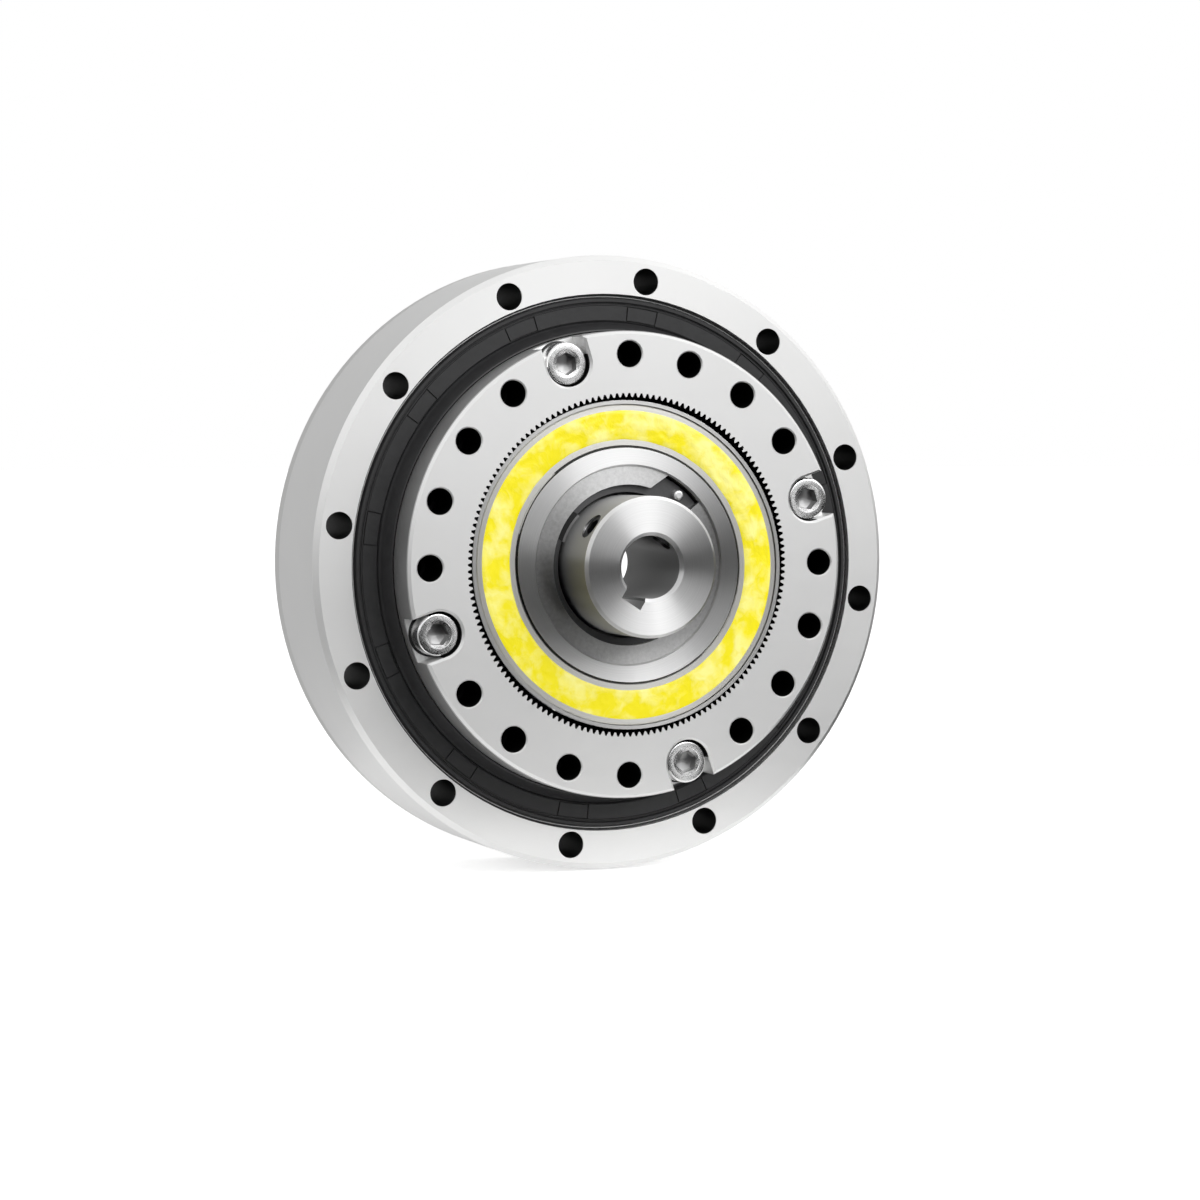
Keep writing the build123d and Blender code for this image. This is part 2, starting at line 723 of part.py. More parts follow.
def retaining_ring():
    """A flat snap ring with one square end and one tapered end."""
    gap = make_face(Polyline(
        clock_point(SNAP_BORE_R - PAST, SNAP_TAPER_INNER_CLOCK),
        clock_point(SNAP_R + PAST, SNAP_TAPER_OUTER_CLOCK),
        clock_point(SNAP_R + PAST, SNAP_END_CLOCK),
        clock_point(SNAP_BORE_R - PAST, SNAP_END_CLOCK),
        close=True,
    ))
    body = ring(SNAP_BORE_R, SNAP_R, SNAP_BACK, SNAP_FACE)
    return body - extrude(Plane.XY.offset(SNAP_BACK) * gap, SNAP_T)


def oldham_insert():
    """A flat ring: tongues behind for the plug, slots across for the hub's lugs."""
    body = ring(INSERT_BORE_R, INSERT_R, INSERT_BACK, INSERT_FACE)
    low = INSERT_BACK - TONGUE_H + END_PLAY / 2
    sides = (MAJOR_CLOCK - 90, MAJOR_CLOCK + 90)
    tongue = block(TONGUE_W, TONGUE_INNER_R, TONGUE_OUTER_R, low, INSERT_BACK)
    width = TONGUE_W + 2 * TONGUE_PLAY
    slot = block(width, 0, LUG_SLOT_R, INSERT_BACK, INSERT_FACE)
    body += [clocked(tongue, side) for side in sides]
    body -= [clocked(slot, side) for side in (MAJOR_CLOCK, MAJOR_CLOCK + 180)]
    return body - stop_pin_shape()


def stop_pin_shape():
    """A round-topped pin that stands in the gap of the snap ring."""
    pin = disc(PIN_R, INSERT_FACE - PIN_SUNK, INSERT_FACE + PIN_STAND)
    pin = fillet(pin.edges().group_by(Axis.Z)[-1], PIN_CROWN)
    return clocked(Pos(0, PIN_CIRCLE) * pin, PIN_CLOCK)


def hub_body():
    shoulder = INSERT_BACK
    groove_r = TAIL_R - TAIL_GROOVE_DEPTH
    ring_back = TAIL_RING_FACE - TAIL_RING_T
    body = turned(
        (BORE_R + BORE_EDGE, HUB_FACE),
        (HUB_R - HUB_EDGE, HUB_FACE),
        (HUB_R, HUB_FACE - HUB_EDGE),
        (HUB_R, shoulder),
        (TAIL_R, shoulder),
        (TAIL_R, TAIL_RING_FACE),
        (groove_r, TAIL_RING_FACE),
        (groove_r, ring_back),
        (TAIL_R, ring_back),
        (TAIL_R, HUB_BACK + TAIL_EDGE),
        (TAIL_R - TAIL_EDGE, HUB_BACK),
        (BORE_R + BORE_EDGE, HUB_BACK),
        (BORE_R, HUB_BACK + BORE_EDGE),
        (BORE_R, HUB_FACE - BORE_EDGE),
    )
    lug = block(TONGUE_W, BORE_R + BORE_EDGE, LUG_R, shoulder, INSERT_FACE - END_PLAY)
    return body + [clocked(lug, side) for side in (MAJOR_CLOCK, MAJOR_CLOCK + 180)]


def radial_screw_hole(near, far, clock):
    hole = Rot(-90, 0, 0) * disc(SET_SCREW_R, near, far)
    return clocked(Pos(0, 0, SET_SCREW_HEIGHT) * hole, clock)


def input_hub():
    key = block(KEY_W, 0, BORE_R + KEY_DEPTH, HUB_BACK, HUB_FACE)
    body = hub_body() - (clocked(key, KEY_CLOCK) - disc(BORE_R, HUB_BACK, HUB_FACE))
    return body - [radial_screw_hole(0, HUB_R + PAST, c) for c in SET_SCREW_CLOCKS]


def hub_set_screws():
    far = HUB_R - SET_SCREW_SINK
    near = far - SET_SCREW_L
    socket = Plane.XY.offset(far - SET_SCREW_HEX_DEPTH) * across_flats(SET_SCREW_HEX)
    body = disc(SET_SCREW_R, near, far) - extrude(socket, SET_SCREW_HEX_DEPTH)
    placed = Pos(0, 0, SET_SCREW_HEIGHT) * Rot(-90, 0, 0) * body
    return [clocked(placed, c) for c in SET_SCREW_CLOCKS]


def rub_washer():
    return ring(TAIL_R, WASHER_R, TAIL_RING_FACE, WASHER_FACE)


def hub_snap_ring():
    low = TAIL_RING_FACE - TAIL_RING_T
    body = ring(TAIL_R - TAIL_GROOVE_DEPTH, TAIL_RING_R, low, TAIL_RING_FACE)
    gap = block(TAIL_RING_GAP, 0, TAIL_RING_R + PAST, low, TAIL_RING_FACE)
    return body - clocked(gap, KEY_CLOCK)


nodes = {
    "outer_ring": outer_ring,
    "roller_loading_plug": roller_loading_plug,
    "loading_plug_pin": loading_pin_hole,
    "rim_screws": rim_screws,
    "flange_ring_seal": groove_seal,
    "flexspline": flexspline,
    "oil_seal": oil_seal,
    "oil_seal_case": seal_metal,
    "garter_spring": garter_spring,
    "circular_spline": circular_spline,
    "inner_ring": inner_ring,
    "spline_screws": spline_screws,
    "output_ring_seal": corner_seal,
    "crossed_rollers": crossed_rollers,
    "wave_generator_plug": plug,
    "bearing_inner_race": bearing_inner_race,
    "bearing_outer_race": bearing_outer_race,
    "bearing_balls": bearing_balls,
    "ball_cage": ball_cage,
    "bearing_grease": bearing_grease,
    "retaining_ring": retaining_ring,
    "oldham_insert": oldham_insert,
    "stop_pin": stop_pin_shape,
    "input_hub": input_hub,
    "hub_set_screws": hub_set_screws,
    "rub_washer": rub_washer,
    "hub_snap_ring": hub_snap_ring,
}

for name, make in nodes.items():
    made = make()
    pieces = made if isinstance(made, list) else [made]
    solids = [solid for piece in pieces for solid in laid(piece).solids()]
    export_step(solids[0] if len(solids) == 1 else Compound(solids), f"parts/{name}.step")
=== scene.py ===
import math

import bmesh
import bpy
from mathutils import Matrix, Vector, noise


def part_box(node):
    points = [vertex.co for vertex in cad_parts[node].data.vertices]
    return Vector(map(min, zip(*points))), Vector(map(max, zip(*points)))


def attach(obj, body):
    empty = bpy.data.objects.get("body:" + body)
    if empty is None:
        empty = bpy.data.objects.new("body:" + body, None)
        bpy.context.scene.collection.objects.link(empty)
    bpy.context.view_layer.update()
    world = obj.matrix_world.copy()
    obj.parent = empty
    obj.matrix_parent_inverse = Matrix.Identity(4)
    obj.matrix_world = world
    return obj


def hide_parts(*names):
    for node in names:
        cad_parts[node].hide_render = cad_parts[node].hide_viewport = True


bl_info = {
    "name": "Strain wave gear",
    "version": (1, 0, 0),
    "blender": (4, 5, 0),
    "location": "View3D > Sidebar > Gear",
    "description": "Dresses the gear's frame: seal, grease, screws, steels and the studio",
    "category": "Object",
}

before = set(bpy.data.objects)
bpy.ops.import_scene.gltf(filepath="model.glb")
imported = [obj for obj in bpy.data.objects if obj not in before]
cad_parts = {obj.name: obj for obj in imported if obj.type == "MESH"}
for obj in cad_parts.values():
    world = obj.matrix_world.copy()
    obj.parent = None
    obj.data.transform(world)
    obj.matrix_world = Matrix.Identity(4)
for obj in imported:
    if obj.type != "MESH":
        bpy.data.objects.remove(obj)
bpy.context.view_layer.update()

MM = 0.001
WELD = 0.000002
SMOOTH_LIMIT = math.radians(24)


def reach(node):
    """The largest radius of a node about the gear's axis, in metres."""
    low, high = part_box(node)
    return max(high.x, high.z, -low.x, -low.z)


def front(node):
    """How far a node comes forward from the mounting face, in metres."""
    return -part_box(node)[0].y


CASE_R = reach("outer_ring")
CASE_FACE = front("outer_ring")
OUTPUT_R = reach("inner_ring")
OUTPUT_FACE = front("circular_spline")
SEAL_R = reach("oil_seal")
SEAL_BACK = -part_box("oil_seal")[1].y
RACE_FACE = front("bearing_outer_race")
RACE_BACK = -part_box("bearing_outer_race")[1].y
PLUG_R = reach("wave_generator_plug")
HUB_FACE = front("input_hub")

# Sizes that the frame's boxes don't give. Clock angles run clockwise from the top

TUBE_CUT = RACE_BACK - 0.9 * MM
WAVE = 0.2685 * MM
WAVE_MAJOR = math.radians(122)
CASE_HOLES_R = 37 * MM
FIRST_CASE_HOLE = math.radians(8.2)
OUTPUT_HOLES_R = 27 * MM
SCREW_CLOCKS = (72, 162, 252, 342)
SOCKET_TURNS = (12, 41, 3, 27)
SCREW_SEAT = OUTPUT_FACE - 3.8 * MM
SHANK_R = 1.5 * MM
SHANK_LENGTH = 8 * MM
HEAD_R = 2.75 * MM
HEAD_HEIGHT = 3 * MM
HEAD_ROUNDING = 0.32 * MM
SOCKET_CORNER_R = 1.25 * MM / math.cos(math.pi / 6)
SOCKET_DEPTH = 1.5 * MM


class GearFinish(bpy.types.PropertyGroup):
    """Colours of the gear's materials."""

    case_colour: bpy.props.FloatVectorProperty(
        name="Case steel", description="Ground face of the case", subtype="COLOR",
        size=3, min=0, max=1, default=(0.90, 0.90, 0.895))
    output_colour: bpy.props.FloatVectorProperty(
        name="Output steel", description="Ground face of the toothed ring", subtype="COLOR",
        size=3, min=0, max=1, default=(0.87, 0.87, 0.866))
    turned_colour: bpy.props.FloatVectorProperty(
        name="Turned steel", description="Face-turned plug and hub", subtype="COLOR",
        size=3, min=0, max=1, default=(0.76, 0.76, 0.76))
    race_colour: bpy.props.FloatVectorProperty(
        name="Bearing steel", description="Ground races of the wave bearing", subtype="COLOR",
        size=3, min=0, max=1, default=(0.93, 0.92, 0.88))
    pressed_colour: bpy.props.FloatVectorProperty(
        name="Pressed steel", description="Snap rings and washers", subtype="COLOR",
        size=3, min=0, max=1, default=(0.56, 0.56, 0.56))
    # Near-black steel of the coupling insert: painted shade of the deep pocket.
    insert_colour: bpy.props.FloatVectorProperty(
        name="Dark insert steel", description="Coupling insert in the pocket", subtype="COLOR",
        size=3, min=0, max=1, default=(0.12, 0.12, 0.122))
    rubber_colour: bpy.props.FloatVectorProperty(
        name="Seal rubber", description="Moulded rubber of the seals", subtype="COLOR",
        size=3, min=0, max=1, default=(0.018, 0.018, 0.019))
    # Pale grease: the grease's own mottling, and painted highlight on the raised blots of its
    # bump.
    grease_pale_and_highlight: bpy.props.FloatVectorProperty(
        name="Pale grease and highlight", description="Pale blots of the grease, partly painted highlight", subtype="COLOR",
        size=3, min=0, max=1, default=(0.95, 0.89, 0.26))
    grease_deep: bpy.props.FloatVectorProperty(
        name="Thin grease", description="Grease where it is deep yellow", subtype="COLOR",
        size=3, min=0, max=1, default=(0.89, 0.77, 0.0))
    screw_colour: bpy.props.FloatVectorProperty(
        name="Plated screws", description="Bright plated socket screws", subtype="COLOR",
        size=3, min=0, max=1, default=(0.90, 0.90, 0.90))


class GearSeal(bpy.types.PropertyGroup):
    """Sizes of the moulded rubber seal."""

    marks: bpy.props.IntProperty(
        name="Moulded pads", description="Plain raised pads round the panel", default=12, min=1)
    mark_turn: bpy.props.FloatProperty(
        name="Pad width", description="Angle that one pad takes", subtype="ANGLE",
        unit="ROTATION", default=math.radians(7.0))
    groove_turn: bpy.props.FloatProperty(
        name="Groove width", description="Angle of the groove at a pad's end",
        subtype="ANGLE", unit="ROTATION", default=math.radians(0.3))
    groove_depth: bpy.props.FloatProperty(
        name="Groove depth", description="How deep the grooves round the pads are",
        subtype="DISTANCE", unit="LENGTH", default=0.00022)


class GearGrease(bpy.types.PropertyGroup):
    """Shape of the grease that fills the bearing's front."""

    inner: bpy.props.FloatProperty(
        name="Inner radius", description="Mean inner edge of the grease",
        subtype="DISTANCE", unit="LENGTH", default=0.0162)
    outer: bpy.props.FloatProperty(
        name="Outer radius", description="Mean outer edge of the grease",
        subtype="DISTANCE", unit="LENGTH", default=0.01995)
    crown: bpy.props.FloatProperty(
        name="Crown", description="How far the grease stands off the races",
        subtype="DISTANCE", unit="LENGTH", default=0.00017)
    lump: bpy.props.FloatProperty(
        name="Lumps", description="Height of the smear marks in the grease",
        subtype="DISTANCE", unit="LENGTH", default=0.00016)


class GearStage(bpy.types.PropertyGroup):
    """Camera and floor round the gear."""

    lens: bpy.props.FloatProperty(
        name="Lens", description="Focal length in millimetres", default=92.4)
    camera_place: bpy.props.FloatVectorProperty(
        name="Camera", description="Where the camera stands", subtype="XYZ",
        unit="LENGTH", size=3, default=(-0.15298, -0.38859, 0.01556))
    azimuth: bpy.props.FloatProperty(
        name="Azimuth", description="Turn of the view from the front", subtype="ANGLE",
        unit="ROTATION", default=math.radians(-22.263))
    elevation: bpy.props.FloatProperty(
        name="Elevation", description="Height of the view above the horizon", subtype="ANGLE",
        unit="ROTATION", default=math.radians(2.905))
    floor_drop: bpy.props.FloatProperty(
        name="Floor gap", description="Floor below the case's lowest point",
        subtype="DISTANCE", unit="LENGTH", default=0.0003)


# Node helpers

def wire(tree, source, target):
    tree.links.new(source, target)


def math_node(tree, operation, first, second=None):
    """A Math node's value; its inputs are sockets or numbers."""
    node = tree.nodes.new("ShaderNodeMath")
    node.operation = operation
    for socket, value in zip(node.inputs, (first, second)):
        if isinstance(value, bpy.types.NodeSocket):
            wire(tree, value, socket)
        elif value is not None:
            socket.default_value = value
    return node.outputs[0]


def vector_node(tree, operation, first, second=None):
    """A Vector Math node's vector, from a socket and three numbers."""
    node = tree.nodes.new("ShaderNodeVectorMath")
    node.operation = operation
    wire(tree, first, node.inputs[0])
    if second:
        node.inputs[1].default_value = second
    return node.outputs["Vector"]


def split_point(tree, point):
    """A point's X, Y and Z sockets."""
    node = tree.nodes.new("ShaderNodeSeparateXYZ")
    wire(tree, point, node.inputs[0])
    return node.outputs


def ramp(tree, value, low, high):
    """Takes a 0 to 1 value to the range from low to high."""
    node = tree.nodes.new("ShaderNodeMapRange")
    wire(tree, value, node.inputs["Value"])
    node.inputs["To Min"].default_value = low
    node.inputs["To Max"].default_value = high
    return node.outputs["Result"]


def mix_colours(tree, factor, first, second):
    """A blend of two colours, each a socket or red, green and blue."""
    node = tree.nodes.new("ShaderNodeMix")
    node.data_type = "RGBA"
    wire(tree, factor, node.inputs["Factor"])
    for label, colour in (("A", first), ("B", second)):
        if isinstance(colour, bpy.types.NodeSocket):
            wire(tree, colour, node.inputs[label])
        else:
            node.inputs[label].default_value = (*colour, 1)
    return node.outputs["Result"]


def noise_node(tree, point, scale, detail, rough, kind="3D"):
    """Noise over a point, or over one number where kind is 1D."""
    node = tree.nodes.new("ShaderNodeTexNoise")
    node.noise_dimensions = kind
    wire(tree, point, node.inputs["W" if kind == "1D" else "Vector"])
    if isinstance(scale, bpy.types.NodeSocket):
        wire(tree, scale, node.inputs["Scale"])
    else:
        node.inputs["Scale"].default_value = scale
    node.inputs["Detail"].default_value = detail
    node.inputs["Roughness"].default_value = rough
    return node.outputs["Fac"]


def off_axis(tree, point):
    """The part of a point that lies square to the gear's axis."""
    return vector_node(tree, "MULTIPLY", point, (1, 0, 1))


def axis_radius(tree, point):
    """Distance from the gear's axis."""
    length = tree.nodes.new("ShaderNodeVectorMath")
    length.operation = "LENGTH"
    wire(tree, off_axis(tree, point), length.inputs[0])
    return length.outputs["Value"]


# Shared groups. Each takes a point and its own sizes

def group(name, inputs, outputs):
    """An empty shader group with a point, these numbers and these outputs."""
    made = bpy.data.node_groups.new(name, "ShaderNodeTree")
    made.interface.new_socket("Point", in_out="INPUT", socket_type="NodeSocketVector")
    for label, value in inputs:
        socket = made.interface.new_socket(label, in_out="INPUT", socket_type="NodeSocketFloat")
        socket.default_value = value
    for label in outputs:
        made.interface.new_socket(label, in_out="OUTPUT", socket_type="NodeSocketFloat")
    start = made.nodes.new("NodeGroupInput").outputs
    end = made.nodes.new("NodeGroupOutput").inputs
    return made, start, end


def turning_group():
    """Fine rings about the axis, as a lathe tool leaves them."""
    tree, start, end = group("turning_marks", [("Pitch", 4000.0)], ["Tone", "Height"])
    radius = axis_radius(tree, start["Point"])
    rings = noise_node(tree, radius, start["Pitch"], 4, 0.65, "1D")
    depth = split_point(tree, start["Point"])["Y"]
    along = noise_node(tree, depth, start["Pitch"], 3, 0.6, "1D")
    wire(tree, math_node(tree, "MULTIPLY", rings, along), end["Height"])
    wire(tree, rings, end["Tone"])
    return tree


def grinding_group():
    """Short straight marks and a soft cloud, as a ground face has."""
    tree, start, end = group("grinding_marks", [("Grain", 2500.0)],
                             ["Tone", "Cloud", "Height"])
    drawn = vector_node(tree, "MULTIPLY", start["Point"], (0.12, 1.0, 1.0))
    grain = noise_node(tree, drawn, start["Grain"], 3, 0.6)
    wire(tree, grain, end["Tone"])
    wire(tree, grain, end["Height"])
    wire(tree, noise_node(tree, start["Point"], 60.0, 3, 0.5), end["Cloud"])
    return tree


def speckle_group():
    """Matt pits, as pressed and tumbled steel or moulded rubber has."""
    tree, start, end = group("speckle", [("Grain", 3000.0)], ["Tone", "Height"])
    coarse = noise_node(tree, start["Point"], start["Grain"], 4, 0.7)
    wire(tree, coarse, end["Tone"])
    wire(tree, math_node(tree, "POWER", coarse, 1.6), end["Height"])
    return tree


def smear_group():
    """Streaks and blots of grease that has been wiped round the bearing."""
    tree, start, end = group("grease_smear", [("Grain", 420.0)], ["Tone", "Height"])
    warp = tree.nodes.new("ShaderNodeTexNoise")
    warp.inputs["Scale"].default_value = 260.0
    wire(tree, start["Point"], warp.inputs["Vector"])
    bent = vector_node(tree, "MULTIPLY_ADD", warp.outputs["Color"], (0.0035, 0.0035, 0.0035))
    wire(tree, start["Point"], bent.node.inputs[2])
    blots = noise_node(tree, bent, start["Grain"], 4, 0.55)
    streaks = noise_node(tree, bent, 1600.0, 3, 0.6)
    height = math_node(tree, "MULTIPLY_ADD", streaks, 0.25)
    wire(tree, blots, height.node.inputs[2])
    wire(tree, blots, end["Tone"])
    wire(tree, height, end["Height"])
    return tree


def bore_group():
    """Marks what lies in a band of radii, between a top and a floor."""
    tree, start, end = group(
        "bore_mask", [("Inner", 0.0), ("Outer", 0.01), ("Depth", 0.0), ("Floor", 0.0)],
        ["Mask"])
    radius = axis_radius(tree, start["Point"])
    height = math_node(tree, "MULTIPLY", split_point(tree, start["Point"])["Y"], -1.0)
    band = math_node(tree, "MULTIPLY", math_node(tree, "GREATER_THAN", radius, start["Inner"]),
                     math_node(tree, "LESS_THAN", radius, start["Outer"]))
    deep = math_node(tree, "MULTIPLY", math_node(tree, "LESS_THAN", height, start["Depth"]),
                     math_node(tree, "GREATER_THAN", height, start["Floor"]))
    wire(tree, math_node(tree, "MULTIPLY", band, deep), end["Mask"])
    return tree


def bolt_circle_group():
    """Marks the walls of round holes spaced evenly on a circle, below a face."""
    tree, start, end = group(
        "bolt_circle", [("Count", 12.0), ("First", 0.0), ("Circle", 0.03), ("Bore", 0.002),
                        ("Depth", 0.0)],
        ["Mask"])
    parts = split_point(tree, start["Point"])
    radius = axis_radius(tree, start["Point"])
    clock = math_node(tree, "ARCTAN2", parts["X"], parts["Z"])
    clock = math_node(tree, "SUBTRACT", clock, start["First"])
    turns = math_node(tree, "DIVIDE", clock, 2 * math.pi)
    holes = math_node(tree, "MULTIPLY", turns, start["Count"])
    off = math_node(tree, "SUBTRACT", holes, math_node(tree, "ROUND", holes))
    off = math_node(tree, "DIVIDE", off, start["Count"])
    off = math_node(tree, "MULTIPLY", off, 2 * math.pi)
    along = math_node(tree, "MULTIPLY", radius, math_node(tree, "COSINE", off))
    along = math_node(tree, "SUBTRACT", along, start["Circle"])
    across = math_node(tree, "MULTIPLY", radius, math_node(tree, "SINE", off))
    square = math_node(tree, "ADD", math_node(tree, "MULTIPLY", along, along),
                       math_node(tree, "MULTIPLY", across, across))
    near = math_node(tree, "LESS_THAN", math_node(tree, "SQRT", square), start["Bore"])
    height = math_node(tree, "MULTIPLY", parts["Y"], -1.0)
    deep = math_node(tree, "LESS_THAN", height, start["Depth"])
    wire(tree, math_node(tree, "MULTIPLY", near, deep), end["Mask"])
    return tree


GROUP_MAKERS = {
    "turning": turning_group, "grinding": grinding_group, "speckle": speckle_group,
    "smear": smear_group, "bore": bore_group, "bolts": bolt_circle_group,
}
GROUPS = {}


def place_group(tree, name, point, *sizes):
    """Places a shared group in a material with its own sizes, in the group's order."""
    if name not in GROUPS:
        GROUPS[name] = GROUP_MAKERS[name]()
    node = tree.nodes.new("ShaderNodeGroup")
    node.node_tree = GROUPS[name]
    wire(tree, point, node.inputs["Point"])
    for socket, size in zip(node.inputs[1:], sizes):
        socket.default_value = size
    return node.outputs


# Painted shade on walls of holes, bores, pockets and tooth gaps: a group, its sizes in order
# and the shade's tone

def bore_shade_band(tone, inner, outer, top, floor=0.0):
    """Painted shade on walls between two radii and two heights over the mounting face."""
    return "bore", (inner, outer, top, floor), tone


def hole_shade_band(tone, count, first, circle, radius, top):
    """Painted shade on walls of evenly spaced holes, below a height over the mounting face."""
    return "bolts", (count, first, circle, radius, top), tone


# Painted shade: each list below darkens the base colour of hole, bore, pocket and tooth-gap
# walls, where shade falls.
CASE_SHADE_BANDS = [
    hole_shade_band(0.05, 12, FIRST_CASE_HOLE, CASE_HOLES_R, 1.8 * MM, CASE_FACE - 0.2 * MM),
]
OUTPUT_SHADE_BANDS = [
    hole_shade_band(0.03, 20, 0.0, OUTPUT_HOLES_R, 1.75 * MM, OUTPUT_FACE - 0.3 * MM),
    bore_shade_band(0.02, 21.3 * MM, 22.3 * MM, OUTPUT_FACE - 0.12 * MM),
    bore_shade_band(0.5, OUTPUT_R - 0.1 * MM, OUTPUT_R + 0.1 * MM, OUTPUT_FACE - 0.3 * MM),
    hole_shade_band(0.05, len(SCREW_CLOCKS), math.radians(SCREW_CLOCKS[0]), OUTPUT_HOLES_R,
              2.98 * MM, OUTPUT_FACE - 0.4 * MM),
]
TOOTH_SHADE_BANDS = [
    bore_shade_band(0.04, 21.05 * MM, 22.3 * MM, OUTPUT_FACE - 0.26 * MM, OUTPUT_FACE - 7.1 * MM),
]
PLUG_SHADE_BANDS = [
    bore_shade_band(0.08, 0.0, 12.9 * MM, OUTPUT_FACE - 0.5 * MM, OUTPUT_FACE - 6 * MM),
    bore_shade_band(0.04, PLUG_R - 0.9 * MM, PLUG_R + 0.1 * MM, OUTPUT_FACE - 0.12 * MM,
              OUTPUT_FACE - 0.6 * MM),
]
HUB_SHADE_BANDS = [
    bore_shade_band(0.30, 0.0, 4.35 * MM, HUB_FACE - 0.5 * MM, HUB_FACE - 17.5 * MM),
    bore_shade_band(0.34, 8.8 * MM, 9.3 * MM, HUB_FACE - 0.45 * MM),
    bore_shade_band(0.06, 9.3 * MM, 20 * MM, HUB_FACE),
]


# Materials

def start_material(name, colour, metallic, roughness):
    made = bpy.data.materials.new(name)
    made.use_nodes = True
    tree = made.node_tree
    shader = tree.nodes["Principled BSDF"].inputs
    shader["Base Color"].default_value = (*colour, 1)
    shader["Metallic"].default_value = metallic
    shader["Roughness"].default_value = roughness
    point = tree.nodes.new("ShaderNodeTexCoord").outputs["Object"]
    return made, tree, shader, point


def bump(tree, shader, height, depth):
    node = tree.nodes.new("ShaderNodeBump")
    node.inputs["Strength"].default_value = 1.0
    node.inputs["Distance"].default_value = depth
    wire(tree, height, node.inputs["Height"])
    wire(tree, node.outputs["Normal"], shader["Normal"])


def shade(tree, shader, colour, tone, low, high):
    """Base colour times a tone that runs from low to high."""
    dark = [part * low for part in colour]
    bright = [min(1, part * high) for part in colour]
    wire(tree, mix_colours(tree, tone, dark, bright), shader["Base Color"])


def roughen(tree, shader, tone, low, high):
    """Roughness that runs from low to high with a tone."""
    wire(tree, ramp(tree, tone, low, high), shader["Roughness"])


def brush_round(tree, shader, point, amount):
    """Stretches the gloss across rings about the gear's axis."""
    shader["Anisotropic"].default_value = amount
    outward = vector_node(tree, "NORMALIZE", off_axis(tree, point))
    slanted = vector_node(tree, "ADD", outward, (0, 0.35, 0))
    turn = tree.nodes.new("ShaderNodeVectorTransform")
    turn.vector_type = "VECTOR"
    turn.convert_from = "OBJECT"
    turn.convert_to = "WORLD"
    wire(tree, slanted, turn.inputs["Vector"])
    wire(tree, vector_node(tree, "NORMALIZE", turn.outputs["Vector"]), shader["Tangent"])


def paint_wall_shade(tree, shader, point, shade_bands):
    """Lays painted shade over the base colour on the walls of holes, bores, pockets and tooth
    gaps.
    """
    for kind, sizes, tone in shade_bands:
        mask = place_group(tree, kind, point, *sizes)["Mask"]
        base = shader["Base Color"].links[0].from_socket
        wire(tree, mix_colours(tree, mask, base, (tone, tone, tone)), shader["Base Color"])


def ground_steel(name, colour, roughness, shade_bands):
    made, tree, shader, point = start_material(name, colour, 1.0, roughness)
    marks = place_group(tree, "grinding", point, 2500.0)
    shade(tree, shader, colour, marks["Cloud"], 0.96, 1.04)
    roughen(tree, shader, marks["Tone"], roughness - 0.05, roughness + 0.05)
    bump(tree, shader, marks["Height"], 0.0015 * MM)
    # Painted shade on the walls of holes and recesses.
    paint_wall_shade(tree, shader, point, shade_bands)
    return made


def turned_steel(name, colour, roughness, stretch, pitch=4000.0, contrast=0.06, shade_bands=()):
    made, tree, shader, point = start_material(name, colour, 1.0, roughness)
    marks = place_group(tree, "turning", point, pitch)
    shade(tree, shader, colour, marks["Tone"], 1 - contrast, 1 + contrast)
    roughen(tree, shader, marks["Tone"], roughness - 0.06, roughness + 0.06)
    bump(tree, shader, marks["Height"], 0.002 * MM)
    # Painted shade on the walls of holes, pockets and tooth gaps.
    paint_wall_shade(tree, shader, point, shade_bands)
    brush_round(tree, shader, point, stretch)
    return made


def matt_steel(name, colour, roughness, grain=2600.0, contrast=0.14, stretch=0.0):
    made, tree, shader, point = start_material(name, colour, 1.0, roughness)
    marks = place_group(tree, "speckle", point, grain)
    shade(tree, shader, colour, marks["Tone"], 1 - contrast, 1 + contrast)
    roughen(tree, shader, marks["Tone"], roughness - 0.08, roughness + 0.08)
    bump(tree, shader, marks["Height"], 0.012 * MM)
    if stretch:
        brush_round(tree, shader, point, stretch)
    return made


def moulded_rubber(name, colour):
    made, tree, shader, point = start_material(name, colour, 0.0, 0.5)
    marks = place_group(tree, "speckle", point, 900.0)
    shade(tree, shader, colour, marks["Tone"], 0.6, 1.4)
    roughen(tree, shader, marks["Tone"], 0.34, 0.6)
    bump(tree, shader, marks["Height"], 0.02 * MM)
    return made


def yellow_grease(name, pale, deep):
    made, tree, shader, point = start_material(name, deep, 0.0, 0.3)
    marks = place_group(tree, "smear", point, 330.0)
    sharp = tree.nodes.new("ShaderNodeMapRange")
    sharp.inputs["From Min"].default_value = 0.42
    sharp.inputs["From Max"].default_value = 0.64
    wire(tree, marks["Tone"], sharp.inputs["Value"])
    # Pale where the smear's blots rise in the bump: the grease's own mottling, and painted
    # highlight on the lumps.
    wire(tree, mix_colours(tree, sharp.outputs["Result"], deep, pale), shader["Base Color"])
    roughen(tree, shader, marks["Tone"], 0.22, 0.42)
    bump(tree, shader, marks["Height"], 0.18 * MM)
    shader["Specular IOR Level"].default_value = 0.45
    return made


def cage_nylon(name, colour):
    made, tree, shader, point = start_material(name, colour, 0.0, 0.5)
    marks = place_group(tree, "speckle", point, 1500.0)
    shade(tree, shader, colour, marks["Tone"], 0.94, 1.05)
    bump(tree, shader, marks["Height"], 0.01 * MM)
    return made


